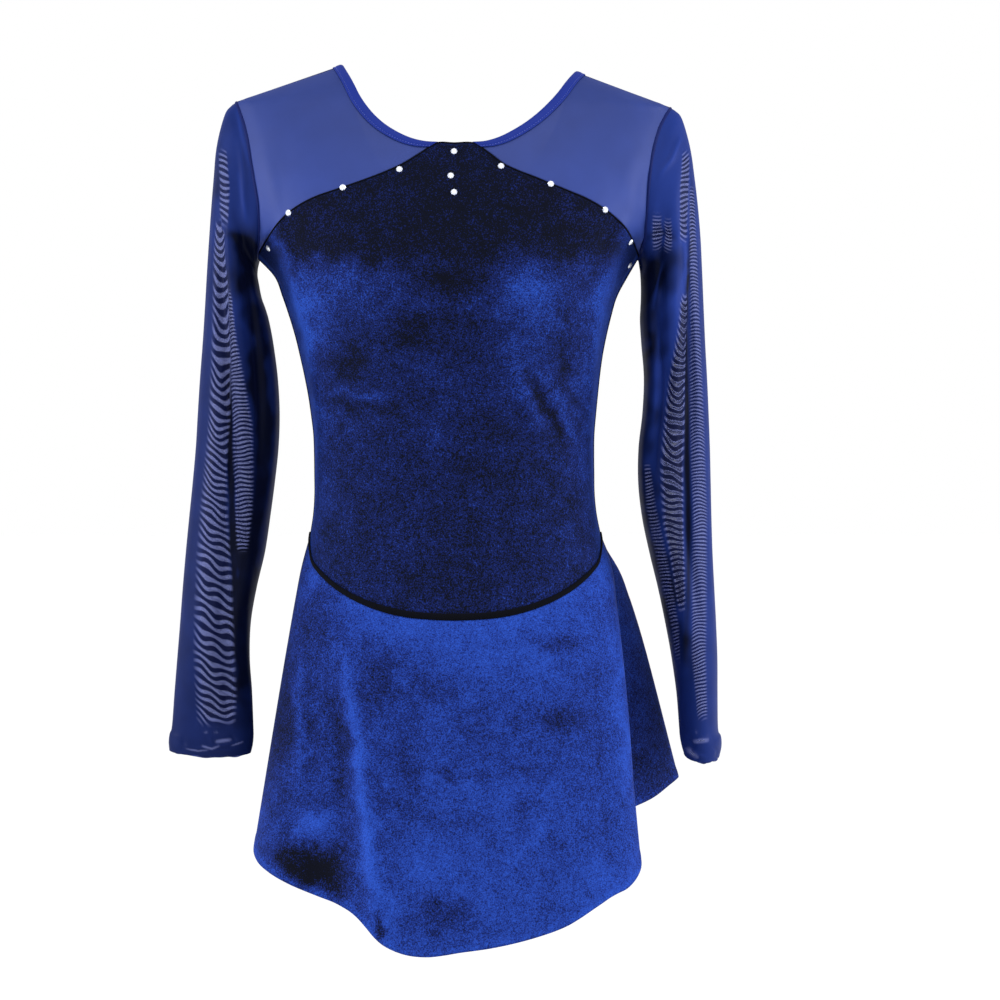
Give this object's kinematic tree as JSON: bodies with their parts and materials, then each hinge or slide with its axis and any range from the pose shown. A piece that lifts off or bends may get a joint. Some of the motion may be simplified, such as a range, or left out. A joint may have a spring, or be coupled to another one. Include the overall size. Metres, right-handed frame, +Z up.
{
  "type": "figure skating dress",
  "caption": "Long-sleeved figure skating dress with sheer mesh yoke and sleeves, velvet bodice and short flared skirt, filled out as worn.",
  "frame": {"origin": "between the shoulders, at the height of the neck ends of the shoulder seams, where the wearer carries the dress", "axes": "+Z up along the body, -Y to the dress's front, +X to the wearer's left"},
  "size_m": [0.4863, 0.3145, 0.7681],
  "materials": {
    "velvet": "stretch velvet pile, dark face on and bright at grazing angles",
    "power_mesh": "sheer knitted power mesh",
    "folded_mesh": "power mesh folded into two layers",
    "rolled_velvet": "rolled velvet seam, near black"
  },
  "bodies": {
    "root": {"bodice_front": "velvet", "bodice_back": "velvet", "skirt_front": "velvet", "skirt_back": "velvet", "hip_piping": "rolled_velvet", "yoke_front_left": "power_mesh", "yoke_front_right": "power_mesh", "yoke_back_left": "power_mesh", "yoke_back_right": "power_mesh", "sleeve_left": "power_mesh", "sleeve_right": "power_mesh", "neck_binding_left": "folded_mesh", "neck_binding_right": "folded_mesh", "cuff_hem_left": "folded_mesh", "cuff_hem_right": "folded_mesh"}
  },
  "joints": []
}
